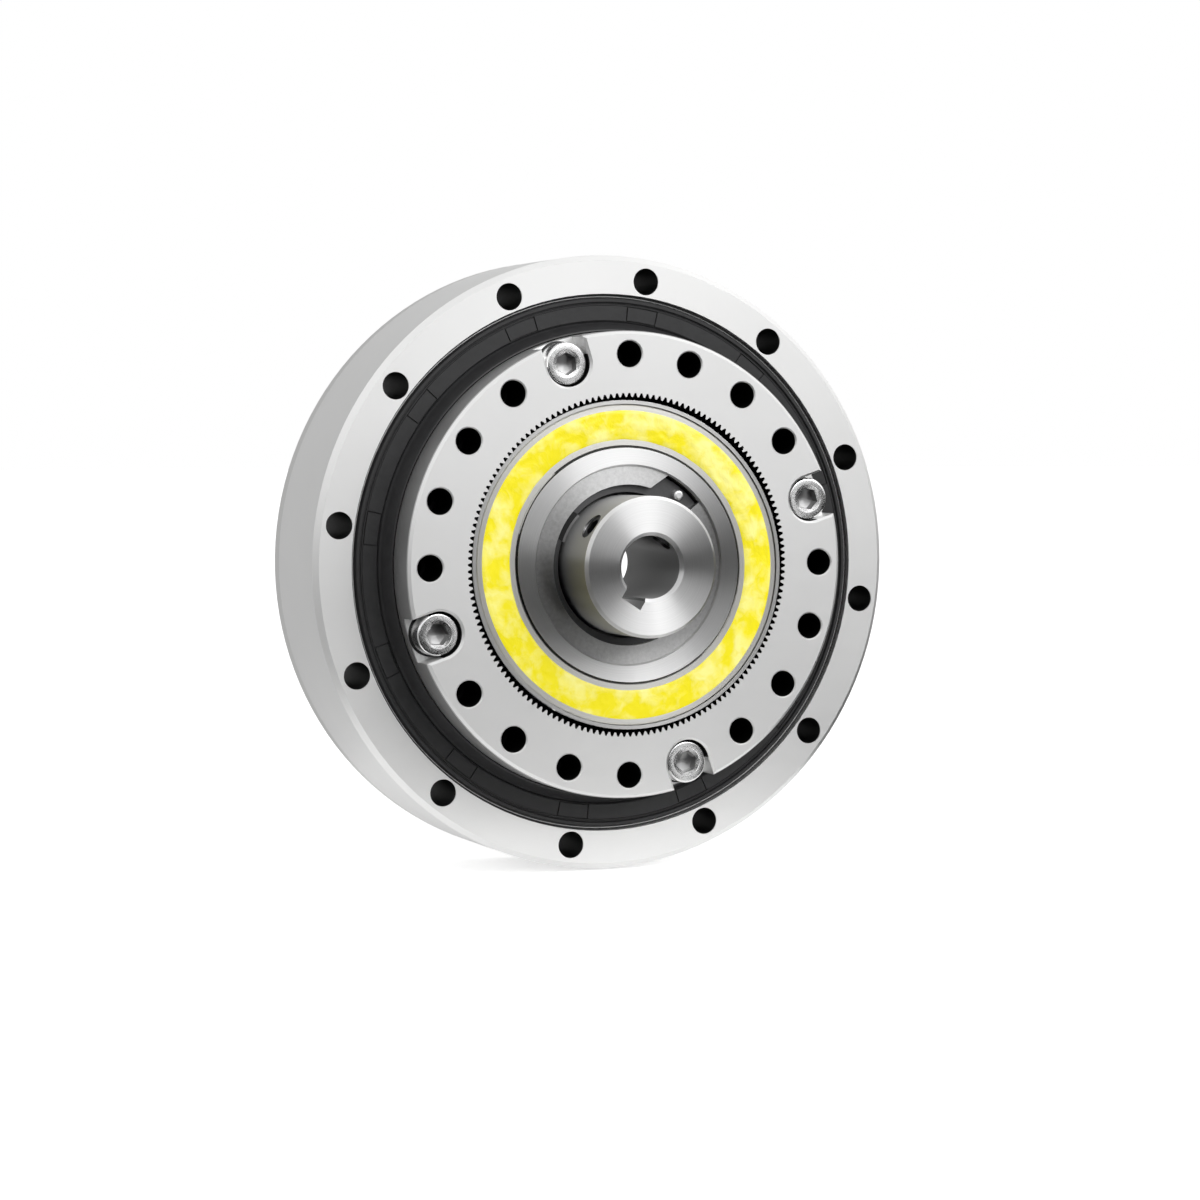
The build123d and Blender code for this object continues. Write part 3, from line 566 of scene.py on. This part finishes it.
def make_finishes(settings):
    """Every material of the gear, by its finish."""
    turned = tuple(settings.turned_colour)
    pressed = tuple(settings.pressed_colour)
    screw = tuple(settings.screw_colour)
    return {
        "case": ground_steel("case_ground_steel", tuple(settings.case_colour), 0.5, CASE_SHADE_BANDS),
        "output": ground_steel("output_ground_steel", tuple(settings.output_colour), 0.5,
                               OUTPUT_SHADE_BANDS),
        "spring": turned_steel("flexspline_steel", (0.8, 0.8, 0.79), 0.3, 0.4,
                               shade_bands=TOOTH_SHADE_BANDS),
        "race": turned_steel("race_steel", tuple(settings.race_colour), 0.32, 0.4),
        "rolling": turned_steel("rolling_steel", (0.82, 0.82, 0.82), 0.12, 0.0),
        "turned": turned_steel("face_turned_steel", turned, 0.40, 0.97, 6000.0, 0.1,
                               PLUG_SHADE_BANDS),
        "hub": turned_steel("hub_turned_steel", turned, 0.40, 0.97, 6000.0, 0.1, HUB_SHADE_BANDS),
        # Darker steel of the screw sockets: painted shade inside the hex socket.
        "socket": matt_steel("socket_painted_shade_steel", (0.42, 0.42, 0.42), 0.35, 1500.0, 0.1),
        "pressed": matt_steel("pressed_steel", pressed, 0.5, contrast=0.3),
        "ring": matt_steel("snap_ring_steel", pressed, 0.42, 2000.0, 0.3, 0.9),
        # Near-black insert steel: painted shade of the deep pocket.
        "insert": matt_steel("insert_painted_shade_steel", tuple(settings.insert_colour), 0.5),
        "screw": matt_steel("plated_screw_steel", screw, 0.24, 1500.0, 0.06),
        "pin": matt_steel("bright_pin_steel", screw, 0.4, 1500.0, 0.05),
        "black": matt_steel("blackened_screw_steel", (0.05, 0.05, 0.052), 0.4),
        "rubber": moulded_rubber("moulded_rubber", tuple(settings.rubber_colour)),
        "grease": yellow_grease("yellow_grease", tuple(settings.grease_pale_and_highlight),
                                tuple(settings.grease_deep)),
        "nylon": cage_nylon("cage_nylon", (0.85, 0.82, 0.70)),
    }


FINISH = {}

CAD_FINISH = {
    "outer_ring": "case", "roller_loading_plug": "case", "loading_plug_pin": "pin",
    "rim_screws": "screw", "flange_ring_seal": "rubber", "oil_seal_case": "pressed",
    "garter_spring": "pressed", "circular_spline": "output", "inner_ring": "output",
    "output_ring_seal": "rubber", "crossed_rollers": "rolling",
    "wave_generator_plug": "turned", "bearing_inner_race": "race",
    "bearing_outer_race": "race", "retaining_ring": "ring", "bearing_balls": "rolling",
    "ball_cage": "nylon", "oldham_insert": "insert", "stop_pin": "pin",
    "input_hub": "hub", "hub_set_screws": "black", "rub_washer": "pressed",
    "hub_snap_ring": "pressed",
}


def set_material(thing, finish):
    """Puts a finish in each of a piece's material slots."""
    if not thing.material_slots:
        thing.data.materials.append(None)
    for slot in thing.material_slots:
        slot.material = FINISH[finish]


# Mesh helpers. A section's corners are radius and distance from the mounting face

def place(radius, height, turn=0.0):
    """A point at a clock angle in radians, seen from the front."""
    return Vector((radius * math.sin(turn), -height, radius * math.cos(turn)))


def loop_of(mesh, points):
    """A closed loop of new edges through these points."""
    verts = [mesh.verts.new(point) for point in points]
    return [mesh.edges.new(pair) for pair in zip(verts, verts[1:] + verts[:1])]


def spin_section(mesh, corners, steps, turn=2 * math.pi, first=0.0):
    """Spins a closed section about the gear's axis and returns the new vertices."""
    before = set(mesh.verts)
    edges = loop_of(mesh, [place(radius, height, first) for radius, height in corners])
    verts = [edge.verts[0] for edge in edges]
    whole = abs(turn - 2 * math.pi) < 1e-6
    faces = [] if whole else [mesh.faces.new(verts)]
    bmesh.ops.spin(mesh, geom=verts + edges + faces, cent=(0, 0, 0), axis=(0, 1, 0),
                   dvec=(0, 0, 0), angle=turn, steps=steps, use_merge=whole,
                   use_duplicate=False)
    if not whole:
        bmesh.ops.contextual_create(mesh, geom=verts)
    return [v for v in mesh.verts if v not in before]


def new_object(mesh, name):
    """Puts a bmesh in the scene as an object and frees it."""
    data = bpy.data.meshes.new(name)
    mesh.to_mesh(data)
    mesh.free()
    thing = bpy.data.objects.new(name, data)
    bpy.context.scene.collection.objects.link(thing)
    return thing


def shade_round(thing, marked=False):
    """Shades a piece smooth but for its sharp edges, and its marked ones too."""
    polygons = thing.data.polygons
    polygons.foreach_set("use_smooth", [True] * len(polygons))
    split = thing.modifiers.new("keep_edges", "EDGE_SPLIT")
    split.split_angle = SMOOTH_LIMIT
    split.use_edge_sharp = marked


def finish_mesh(mesh, name, finish, body, slot, *nodes):
    """Turns a bmesh into a piece that rides on a body and stands for CAD nodes."""
    bmesh.ops.remove_doubles(mesh, verts=mesh.verts, dist=WELD)
    bmesh.ops.recalc_face_normals(mesh, faces=mesh.faces)
    thing = new_object(mesh, name)
    set_material(thing, finish)
    shade_round(thing)
    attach(thing, body)
    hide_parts(*nodes)
    return thing


class GEAR_OT_dress_frame(bpy.types.Operator):
    """Gives every CAD node that stays its steel, rubber or nylon"""

    bl_idname = "gear.dress_frame"
    bl_label = "Dress frame"

    def execute(self, context):
        FINISH.update(make_finishes(context.scene.gear_finish))
        for node, finish in CAD_FINISH.items():
            set_material(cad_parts[node], finish)
        return {"FINISHED"}


def mark_front_land(mesh):
    """Marks the edges round the flexspline's flat front land as sharp."""
    land = min(v.co.y for v in mesh.verts) + 0.02 * MM
    for edge in mesh.edges:
        flat = {face.normal.y < -0.999 and face.calc_center_median().y < land
                for face in edge.link_faces}
        edge.smooth = len(flat) < 2


def cut_tube(whole, front_half):
    """A closed copy of the flexspline's front or back half."""
    mesh = whole.copy()
    cut = bmesh.ops.bisect_plane(
        mesh, geom=mesh.verts[:] + mesh.edges[:] + mesh.faces[:], dist=WELD / 4,
        plane_co=(0, -TUBE_CUT, 0), plane_no=(0, 1, 0),
        clear_inner=not front_half, clear_outer=front_half)
    rim = [edge for edge in cut["geom_cut"] if isinstance(edge, bmesh.types.BMEdge)]
    bmesh.ops.bridge_loops(mesh, edges=rim)
    return mesh


class GEAR_OT_flexspline(bpy.types.Operator):
    """Makes the thin tube, held by the case, and its toothed oval, which follows the wave"""

    bl_idname = "gear.flexspline"
    bl_label = "Flexspline"

    def execute(self, context):
        whole = bmesh.new()
        whole.from_mesh(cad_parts["flexspline"].data)
        bmesh.ops.remove_doubles(whole, verts=whole.verts, dist=WELD)
        whole.normal_update()
        mark_front_land(whole)
        for name, body in (("flexspline_body", "case"), ("flexspline_teeth", "wave_generator")):
            thing = new_object(cut_tube(whole, body != "case"), name)
            set_material(thing, "spring")
            shade_round(thing, marked=True)
            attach(thing, body)
            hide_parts("flexspline")
        whole.free()
        return {"FINISHED"}


def add_pad(mesh, start, turn, inner, outer, floor, panel):
    """A raised pad of the seal's panel, with its long edges broken."""
    foot = floor - 0.1 * MM
    edge = 0.03 * MM
    section = [
        (inner, foot), (inner, panel - edge), (inner + edge, panel),
        (outer - edge, panel), (outer, panel - edge), (outer, foot),
    ]
    spin_section(mesh, section, max(6, int(math.degrees(turn))), turn, start)


class GEAR_OT_seal(bpy.types.Operator):
    """Makes the rubber seal with its grooves, ridge, lips and plain moulded pads"""

    bl_idname = "gear.seal"
    bl_label = "Rubber seal"

    def execute(self, context):
        settings = context.scene.gear_seal
        face = CASE_FACE - 0.15 * MM
        panel = face - 0.22 * MM
        floor = panel - settings.groove_depth
        lip = OUTPUT_R + 0.03 * MM
        web = lip + 0.6 * MM
        leg = SEAL_R - 1.2 * MM
        angle_r = 32.55 * MM
        section = [
            (SEAL_R, SEAL_BACK),
            (SEAL_R, face - 0.75 * MM),
            (SEAL_R - 0.25 * MM, face - 0.75 * MM),
            (SEAL_R - 0.45 * MM, face - 0.55 * MM),
            (SEAL_R - 0.62 * MM, face - 0.08 * MM),
            (SEAL_R - 0.72 * MM, face),
            (SEAL_R - 1.02 * MM, face),
            (SEAL_R - 1.10 * MM, face - 0.08 * MM),
            (SEAL_R - 1.16 * MM, face - 0.32 * MM),
            (SEAL_R - 1.26 * MM, face - 0.32 * MM),
            (SEAL_R - 1.34 * MM, panel),
            (SEAL_R - 1.45 * MM, panel),
            (SEAL_R - 1.48 * MM, floor),
            (31.54 * MM, floor),
            (31.52 * MM, panel - 0.02 * MM),
            (31.45 * MM, panel - 0.05 * MM),
            (31.35 * MM, panel - 0.18 * MM),
            (31.20 * MM, panel - 0.05 * MM),
            (31.00 * MM, panel + 0.35 * MM),
            (lip + 0.42 * MM, CASE_FACE + 1.45 * MM),
            (lip + 0.28 * MM, CASE_FACE + 1.74 * MM),
            (lip + 0.12 * MM, CASE_FACE + 1.80 * MM),
            (lip, CASE_FACE + 1.62 * MM),
            (web, face - 0.6 * MM),
            (web, SEAL_BACK + 1.65 * MM),
            (lip, SEAL_BACK + 1.1 * MM),
            (web, SEAL_BACK + 0.3 * MM),
            (angle_r, SEAL_BACK + 0.3 * MM),
            (angle_r, SEAL_BACK + 1.95 * MM),
            (32.0 * MM, face - 1.5 * MM),
            (leg, face - 1.5 * MM),
            (leg, SEAL_BACK),
        ]
        mesh = bmesh.new()
        spin_section(mesh, section, 240)
        width, gap = settings.mark_turn, settings.groove_turn
        step = 2 * math.pi / settings.marks
        for k in range(settings.marks):
            first = math.radians(8.5) - width / 2 + k * step
            add_pad(mesh, first, width, 31.66 * MM, 33.40 * MM, floor, panel)
            add_pad(mesh, first + width + gap, step - width - 2 * gap, 31.56 * MM, 33.50 * MM,
                    floor, panel)
        finish_mesh(mesh, "seal_rubber_body", "rubber", "case", "seal_rubber", "oil_seal")
        return {"FINISHED"}


def oval_shift(verts):
    """Presses round vertices out along the wave's major axis."""
    for v in verts:
        radius = math.hypot(v.co.x, v.co.z)
        if radius > 0:
            turn = math.atan2(v.co.x, v.co.z)
            scale = 1 + WAVE * math.cos(2 * (turn - WAVE_MAJOR)) / radius
            v.co.x *= scale
            v.co.z *= scale


def grease_section(settings, rows=18):
    """The grease's domed front and its foot between the races."""
    inner, outer, foot = settings.inner, settings.outer, RACE_FACE - 0.35 * MM
    section = []
    for k in range(rows + 1):
        share = k / rows
        dome = math.sin(math.pi * share) ** 0.4
        section.append((inner + (outer - inner) * share, RACE_FACE + settings.crown * dome))
    section += [(outer - 0.6 * MM, foot), (inner + 0.6 * MM, foot)]
    return section


def smear_height(x, z, turn, share):
    """Blots and wiped streaks of the grease, from -0.9 to 0.9."""
    blot = Vector((x, 0, z)) * 420
    streak = Vector((math.cos(turn) * 7, share * 3.2, math.sin(turn) * 7))
    height = noise.noise(blot) + 0.7 * noise.noise(streak * 2.1)
    height += 0.35 * noise.noise(blot * 2.7)
    return max(-0.9, min(0.9, height))


class GEAR_OT_grease(bpy.types.Operator):
    """Makes the lumpy ring of grease that stands proud of the bearing's races"""

    bl_idname = "gear.grease"
    bl_label = "Grease"

    def execute(self, context):
        settings = context.scene.gear_grease
        inner, outer = settings.inner, settings.outer
        mesh = bmesh.new()
        verts = spin_section(mesh, grease_section(settings), 420)
        for v in verts:
            radius = math.hypot(v.co.x, v.co.z)
            turn = math.atan2(v.co.x, v.co.z)
            share = (radius - inner) / (outer - inner)
            if -v.co.y < RACE_FACE - 0.01 * MM or not 0 <= share <= 1:
                continue
            hold = min(1.0, 7 * min(share, 1 - share))
            height = smear_height(v.co.x, v.co.z, turn, share)
            v.co.y -= settings.lump * 0.55 * hold * height
            if share < 0.02 or share > 0.98:
                spot = Vector((math.cos(turn), math.sin(turn), share)) * 9
                wander = 1 + 0.05 * MM * noise.noise(spot) / radius
                v.co.x *= wander
                v.co.z *= wander
        oval_shift(verts)
        finish_mesh(mesh, "grease_fill", "grease", "wave_generator", "grease", "bearing_grease")
        return {"FINISHED"}


def screw_rings(steps=48, bends=5):
    """Rings of a screw from tip to socket floor: corners, radius, height over its seat."""
    rings = [(steps, SHANK_R, -SHANK_LENGTH), (steps, SHANK_R, 0.0),
             (steps, HEAD_R - 0.1 * MM, 0.0), (steps, HEAD_R, 0.1 * MM)]
    for k in range(bends + 1):
        bend = math.pi / 2 * k / bends
        rings.append((steps, HEAD_R - HEAD_ROUNDING + HEAD_ROUNDING * math.cos(bend),
                      HEAD_HEIGHT - HEAD_ROUNDING + HEAD_ROUNDING * math.sin(bend)))
    rings += [(steps, 1.86 * MM, HEAD_HEIGHT),
              (steps, 1.80 * MM, HEAD_HEIGHT - 0.06 * MM),
              (steps, 1.62 * MM, HEAD_HEIGHT - 0.08 * MM),
              (6, SOCKET_CORNER_R + 0.07 * MM, HEAD_HEIGHT - 0.1 * MM),
              (6, SOCKET_CORNER_R, HEAD_HEIGHT - 0.2 * MM),
              (6, SOCKET_CORNER_R, HEAD_HEIGHT - SOCKET_DEPTH),
              (6, 0.35 * MM, HEAD_HEIGHT - SOCKET_DEPTH - 0.25 * MM)]
    return rings


def screw_mesh():
    """A socket head screw on its seat, with its socket's faces in the second slot, where a
    darker steel paints the socket's shade.
    """
    mesh = bmesh.new()
    loops = []
    for count, radius, height in screw_rings():
        turns = [2 * math.pi * n / count for n in range(count)]
        loops.append(loop_of(mesh, [(radius * math.cos(turn), -height, radius * math.sin(turn))
                                    for turn in turns]))
    for lower, upper in zip(loops, loops[1:]):
        bmesh.ops.bridge_loops(mesh, edges=lower + upper)
    for end in (loops[0], loops[-1]):
        bmesh.ops.contextual_create(mesh, geom=end)
    for face in mesh.faces:
        middle = face.calc_center_median()
        sunk = MM < -middle.y < HEAD_HEIGHT - 0.15 * MM
        inside = math.hypot(middle.x, middle.z) < SOCKET_CORNER_R + 0.001 * MM
        face.material_index = int(sunk and inside)
    return mesh


class GEAR_OT_screws(bpy.types.Operator):
    """Makes the four socket head screws that hold the toothed ring"""

    bl_idname = "gear.screws"
    bl_label = "Output screws"

    def execute(self, context):
        for k, (clock, turn) in enumerate(zip(SCREW_CLOCKS, SOCKET_TURNS)):
            mesh = screw_mesh()
            bmesh.ops.rotate(mesh, verts=mesh.verts, cent=(0, 0, 0),
                             matrix=Matrix.Rotation(math.radians(turn), 3, "Y"))
            bmesh.ops.translate(mesh, verts=mesh.verts,
                                vec=place(OUTPUT_HOLES_R, SCREW_SEAT, math.radians(clock)))
            screw = finish_mesh(mesh, f"output_screw_{k + 1}", "screw", "output",
                                "screw_steel", "spline_screws")
            # The socket's faces take the darker steel, painted shade inside the socket.
            screw.data.materials.append(FINISH["socket"])
        return {"FINISHED"}


# Stage

CARD_R = 1.1
CARD_FOOT = -CASE_R - 0.2 * MM
FLAG_TOP = 0.13
ROOM_TOP = 1.6
BLACK, SIDE_GREY, BACK_GREY, TOP_GREY = 0.005, 0.35, 0.5, 0.75

# Each card's name, start and end in degrees, radius and height of both edges, and glow
CARDS = (
    ("far_left_card", -100, -50, (CARD_R, CARD_FOOT), (CARD_R, FLAG_TOP), SIDE_GREY),
    ("left_flag", -50, 19.2, (CARD_R, CARD_FOOT), (CARD_R, FLAG_TOP), BLACK),
    ("right_flag", 25, 110, (CARD_R, CARD_FOOT), (CARD_R, FLAG_TOP), BLACK),
    ("far_left_floor", -100, -50, (0.07, CARD_FOOT), (CARD_R, CARD_FOOT), SIDE_GREY),
    ("left_floor_flag", -50, 19.2, (0.052, CARD_FOOT), (CARD_R, CARD_FOOT), BLACK),
    ("right_floor_flag", 25, 110, (0.052, CARD_FOOT), (CARD_R, CARD_FOOT), BLACK),
    ("overhead_card", 0, 360, (0.01, ROOM_TOP), (0.95, ROOM_TOP), TOP_GREY),
    ("grey_back", 115, 258, (CARD_R, CARD_FOOT), (CARD_R, ROOM_TOP), BACK_GREY),
    ("grey_floor", 100, 258, (0.045, CARD_FOOT), (CARD_R, CARD_FOOT), BACK_GREY),
)


def stage_object(mesh, name, paint):
    thing = new_object(mesh, name)
    thing.data.materials.append(paint)
    return thing


def aim(thing, spot, direction):
    """Stands a lamp or camera on a spot and points it along a direction."""
    thing.location = spot
    thing.rotation_mode = "QUATERNION"
    thing.rotation_quaternion = direction.to_track_quat("-Z", "Y")
    bpy.context.scene.collection.objects.link(thing)


def light_world(scene, fill_strength=0.72):
    """A white world that lights the gear a little less than the camera and gloss see."""
    world = bpy.data.worlds.new("studio")
    scene.world = world
    world.use_nodes = True
    tree = world.node_tree
    tree.nodes.clear()
    fill = tree.nodes.new("ShaderNodeBackground")
    seen_white = tree.nodes.new("ShaderNodeBackground")
    for light, strength in ((fill, fill_strength), (seen_white, 1.0)):
        light.inputs["Color"].default_value = (1, 1, 1, 1)
        light.inputs["Strength"].default_value = strength
    path = tree.nodes.new("ShaderNodeLightPath").outputs
    seen = math_node(tree, "MAXIMUM", path["Is Camera Ray"], path["Is Glossy Ray"])
    seen = math_node(tree, "MAXIMUM", seen, path["Is Transmission Ray"])
    mix = tree.nodes.new("ShaderNodeMixShader")
    wire(tree, seen, mix.inputs[0])
    wire(tree, fill.outputs[0], mix.inputs[1])
    wire(tree, seen_white.outputs[0], mix.inputs[2])
    out = tree.nodes.new("ShaderNodeOutputWorld")
    wire(tree, mix.outputs[0], out.inputs["Surface"])


def lay_floor(drop, wide=6.0):
    """A pale floor that glows enough to look white to the camera."""
    paint = bpy.data.materials.new("floor_paint")
    paint.use_nodes = True
    tree = paint.node_tree
    shader = tree.nodes["Principled BSDF"].inputs
    shader["Base Color"].default_value = (0.92, 0.92, 0.92, 1)
    shader["Roughness"].default_value = 0.9
    shader["Emission Color"].default_value = (1, 1, 1, 1)
    path = tree.nodes.new("ShaderNodeLightPath").outputs
    mirrored = math_node(tree, "MAXIMUM", path["Is Glossy Ray"], path["Is Transmission Ray"])
    glow = math_node(tree, "MAXIMUM",
                     math_node(tree, "MULTIPLY", path["Is Camera Ray"], 0.5),
                     math_node(tree, "MULTIPLY", mirrored, 0.15))
    wire(tree, glow, shader["Emission Strength"])
    mesh = bmesh.new()
    low = -CASE_R - drop
    corners = ((-wide, -wide, low), (wide, -wide, low), (wide, wide, low), (-wide, wide, low))
    mesh.faces.new([mesh.verts.new(corner) for corner in corners])
    stage_object(mesh, "floor", paint)


def stand_card(name, start, end, first, last, glow):
    """A glowing card, swept round the gear, that only its gloss sees."""
    paint = bpy.data.materials.new(name)
    paint.use_nodes = True
    tree = paint.node_tree
    tree.nodes.clear()
    light = tree.nodes.new("ShaderNodeEmission")
    light.inputs["Color"].default_value = (1, 1, 1, 1)
    light.inputs["Strength"].default_value = glow
    wire(tree, light.outputs[0], tree.nodes.new("ShaderNodeOutputMaterial").inputs[0])
    mesh = bmesh.new()
    turn = math.radians(start)
    ends = [mesh.verts.new((radius * math.sin(turn), -radius * math.cos(turn), height))
            for radius, height in (first, last)]
    bmesh.ops.spin(mesh, geom=[*ends, mesh.edges.new(ends)], cent=(0, 0, 0), axis=(0, 0, 1),
                   dvec=(0, 0, 0), angle=math.radians(end - start), steps=24,
                   use_merge=False, use_duplicate=False)
    card = stage_object(mesh, name, paint)
    card.visible_camera = False
    card.visible_diffuse = False
    card.visible_shadow = False
    card.visible_transmission = False


def hang_softbox():
    """The one lamp: a wide softbox high in front, at the right."""
    data = bpy.data.lights.new("front_softbox", "AREA")
    data.energy = 10.0
    data.shape = "RECTANGLE"
    data.size = 1.3
    data.size_y = 0.9
    spot = Vector((0.55, -0.95, 0.78))
    aim(bpy.data.objects.new("front_softbox", data), spot, -spot)


def set_camera(scene, settings):
    """The camera that took the photo, as fitted to it."""
    data = bpy.data.cameras.new("photo_camera")
    data.lens = settings.lens
    data.sensor_width = 36.0
    data.clip_start = 0.01
    data.clip_end = 50.0
    turn, rise = settings.azimuth, settings.elevation
    back = Vector((math.sin(turn) * math.cos(rise), -math.cos(turn) * math.cos(rise),
                   math.sin(rise)))
    camera = bpy.data.objects.new("photo_camera", data)
    aim(camera, settings.camera_place, -back)
    scene.camera = camera


class GEAR_OT_stage(bpy.types.Operator):
    """Sets up the floor, the studio's soft light, its cards and the camera"""

    bl_idname = "gear.stage"
    bl_label = "Studio"

    def execute(self, context):
        scene = context.scene
        settings = scene.gear_stage
        scene.view_settings.view_transform = "Standard"
        light_world(scene)
        lay_floor(settings.floor_drop)
        for card in CARDS:
            stand_card(*card)
        hang_softbox()
        set_camera(scene, settings)
        return {"FINISHED"}


STEPS = (GEAR_OT_dress_frame, GEAR_OT_flexspline, GEAR_OT_seal, GEAR_OT_grease,
         GEAR_OT_screws, GEAR_OT_stage)


class GEAR_PT_panel(bpy.types.Panel):
    """Lists the steps that dress the gear"""

    bl_idname = "GEAR_PT_panel"
    bl_label = "Strain wave gear"
    bl_space_type = "VIEW_3D"
    bl_region_type = "UI"
    bl_category = "Gear"

    def draw(self, context):
        for step in STEPS:
            self.layout.operator(step.bl_idname)


SETTINGS = {"gear_finish": GearFinish, "gear_seal": GearSeal,
            "gear_grease": GearGrease, "gear_stage": GearStage}


def register():
    for name, kind in SETTINGS.items():
        bpy.utils.register_class(kind)
        setattr(bpy.types.Scene, name, bpy.props.PointerProperty(type=kind))
    for step in STEPS:
        bpy.utils.register_class(step)
    bpy.utils.register_class(GEAR_PT_panel)


def unregister():
    bpy.utils.unregister_class(GEAR_PT_panel)
    for step in reversed(STEPS):
        bpy.utils.unregister_class(step)
    for name, kind in SETTINGS.items():
        delattr(bpy.types.Scene, name)
        bpy.utils.unregister_class(kind)


def main():
    register()
    bpy.ops.gear.dress_frame()
    bpy.ops.gear.flexspline()
    bpy.ops.gear.seal()
    bpy.ops.gear.grease()
    bpy.ops.gear.screws()
    bpy.ops.gear.stage()


if __name__ == "__main__":
    main()
